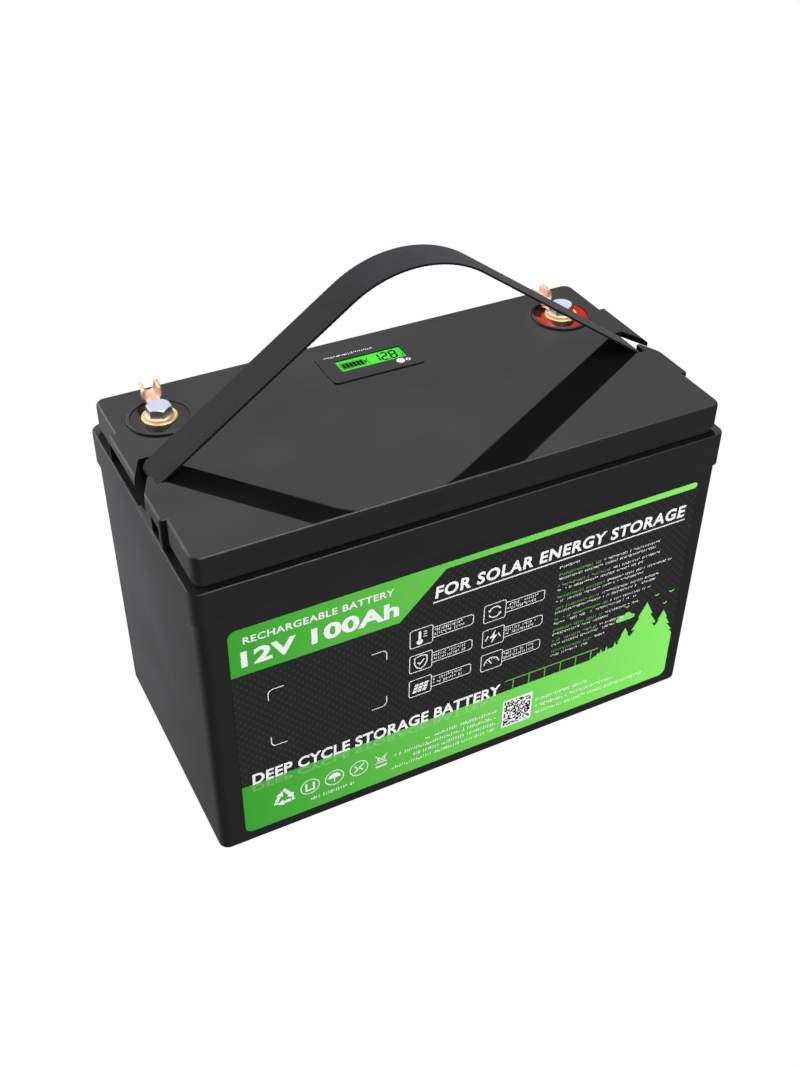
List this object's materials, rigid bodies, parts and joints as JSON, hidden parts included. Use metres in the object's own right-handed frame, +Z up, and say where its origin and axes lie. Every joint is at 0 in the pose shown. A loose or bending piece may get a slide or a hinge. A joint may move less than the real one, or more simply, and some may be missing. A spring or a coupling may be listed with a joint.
{
  "type": "deep cycle battery",
  "caption": "Deep cycle battery in a closed case with a carrying strap, bolted terminals, a capacity display, and its cell pack and management board inside.",
  "frame": {"origin": "middle of the base, on the surface that the battery stands on", "axes": "+Z up, X along the long side with the positive terminal at +X, +Y towards the terminal side; the printed label faces -Y"},
  "size_m": [0.33, 0.172, 0.3087],
  "materials": {
    "case_plastic": "satin moulded ABS, fine spark texture",
    "sealant": "cured sealant",
    "label_film": "printed vinyl film, satin laminate",
    "webbing": "woven polyester webbing",
    "steel": "plain bright steel",
    "zinc_steel": "bright zinc plate",
    "brass": "turned brass",
    "copper": "pressed copper sheet",
    "copper_bar": "punched copper bar",
    "tinned_lug": "tin plate",
    "black_collar": "moulded ABS",
    "red_collar": "moulded ABS",
    "rubber": "nitrile rubber",
    "bezel_plastic": "moulded ABS",
    "clear_lens": "clear moulded window",
    "lcd_glass": "polarised display glass",
    "green_light": "green light guide",
    "white_plastic": "moulded nylon",
    "circuit_board": "solder mask over glass epoxy",
    "foam": "closed-cell foam",
    "epoxy_sheet": "glass epoxy sheet",
    "cell_wrap": "shrink film over an aluminium can",
    "aluminium": "extruded",
    "wire_jacket": "silicone wire jacket",
    "red_cable": "silicone cable jacket",
    "black_cable": "silicone cable jacket"
  },
  "bodies": {
    "battery": {"balance_plug": "white_plastic", "balance_wires": "wire_jacket", "base_foam": "foam", "bms_board": "circuit_board", "bms_heatsink": "aluminium", "bms_input_lug": "tinned_lug", "bms_output_lug": "tinned_lug", "bms_standoffs": "white_plastic", "bms_transistors": "black_collar", "busbar_1": "copper_bar", "busbar_2": "copper_bar", "busbar_3": "copper_bar", "case": "case_plastic", "cell_1": "cell_wrap", "cell_2": "cell_wrap", "cell_3": "cell_wrap", "cell_4": "cell_wrap", "cell_nuts": "steel", "cell_separators": "epoxy_sheet", "display_backlight": "green_light", "display_bezel": "bezel_plastic", "display_board": "circuit_board", "display_lcd": "lcd_glass", "display_lens": "clear_lens", "display_screws": "steel", "display_switch": "black_collar", "display_wires": "wire_jacket", "front_label": "label_film", "insulation_tray": "epoxy_sheet", "left_foam": "foam", "lid": "case_plastic", "lid_seal": "sealant", "negative_collar": "black_collar", "negative_lug": "copper", "negative_post": "brass", "negative_post_lug": "tinned_lug", "output_cable": "black_cable", "pack_bands": "steel", "pack_left_plate": "epoxy_sheet", "pack_negative_cable": "black_cable", "pack_negative_lug": "tinned_lug", "pack_positive_lug": "tinned_lug", "pack_right_plate": "epoxy_sheet", "positive_cable": "red_cable", "positive_collar": "red_collar", "positive_lug": "copper", "positive_post": "brass", "positive_post_lug": "tinned_lug", "right_foam": "foam", "strap_left_end": "webbing", "strap_left_pin": "steel", "strap_right_end": "webbing", "strap_right_pin": "steel", "terminal_bolts": "zinc_steel", "terminal_nuts": "brass", "terminal_orings": "rubber", "top_foam": "foam", "tray_spacers": "white_plastic"},
    "handle": {"strap_arch": "webbing"},
    "button": {"display_button": "white_plastic"}
  },
  "joints": [
    {"name": "strap_lean", "type": "hinge", "parent": "battery", "child": "handle", "pos_m": [0, 0, 0.2175], "axis": [1, 0, 0], "range_deg": [-55, 55], "stiffness_Nm_per_rad": 0.05},
    {"name": "display_button_press", "type": "slide", "parent": "battery", "child": "button", "axis": [0, 0, -1], "range_m": [0, 0.0008], "stiffness_N_per_m": 400}
  ]
}
